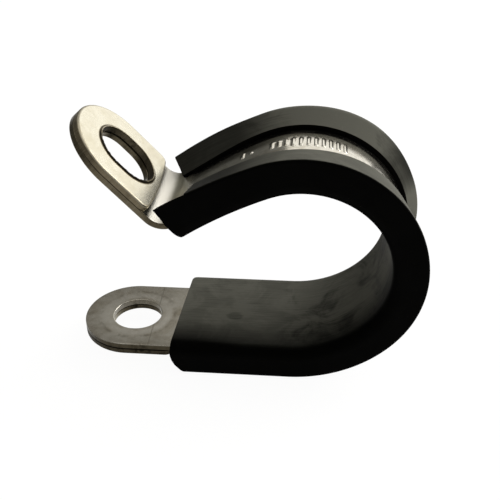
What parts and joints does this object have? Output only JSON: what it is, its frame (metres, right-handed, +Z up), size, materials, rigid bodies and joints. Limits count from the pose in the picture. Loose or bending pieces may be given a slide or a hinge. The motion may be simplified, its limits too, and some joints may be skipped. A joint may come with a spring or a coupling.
{
  "type": "rubber-lined p clip",
  "caption": "Rubber-lined steel P clip, sprung open, that holds a pipe or cable in its loop and bolts to a surface by two reinforced ears.",
  "frame": {"origin": "axis of the lower ear's round bolt hole, at the underside of the lower plate", "axes": "+X from the ears towards the loop, +Y across the strip, +Z up, out of the lower ear's inner face"},
  "size_m": [0.0429, 0.0162, 0.0315],
  "materials": {
    "band_steel": "rolled stainless strip, satin",
    "upper_plate_steel": "stamped stainless, satin with soft edges",
    "lower_plate_steel": "stamped stainless, satin with soft edges",
    "liner_rubber": "extruded black rubber, semi-matt"
  },
  "bodies": {
    "root": {"band": "band_steel", "upper_plate": "upper_plate_steel", "lower_plate": "lower_plate_steel", "liner": "liner_rubber"}
  },
  "joints": []
}
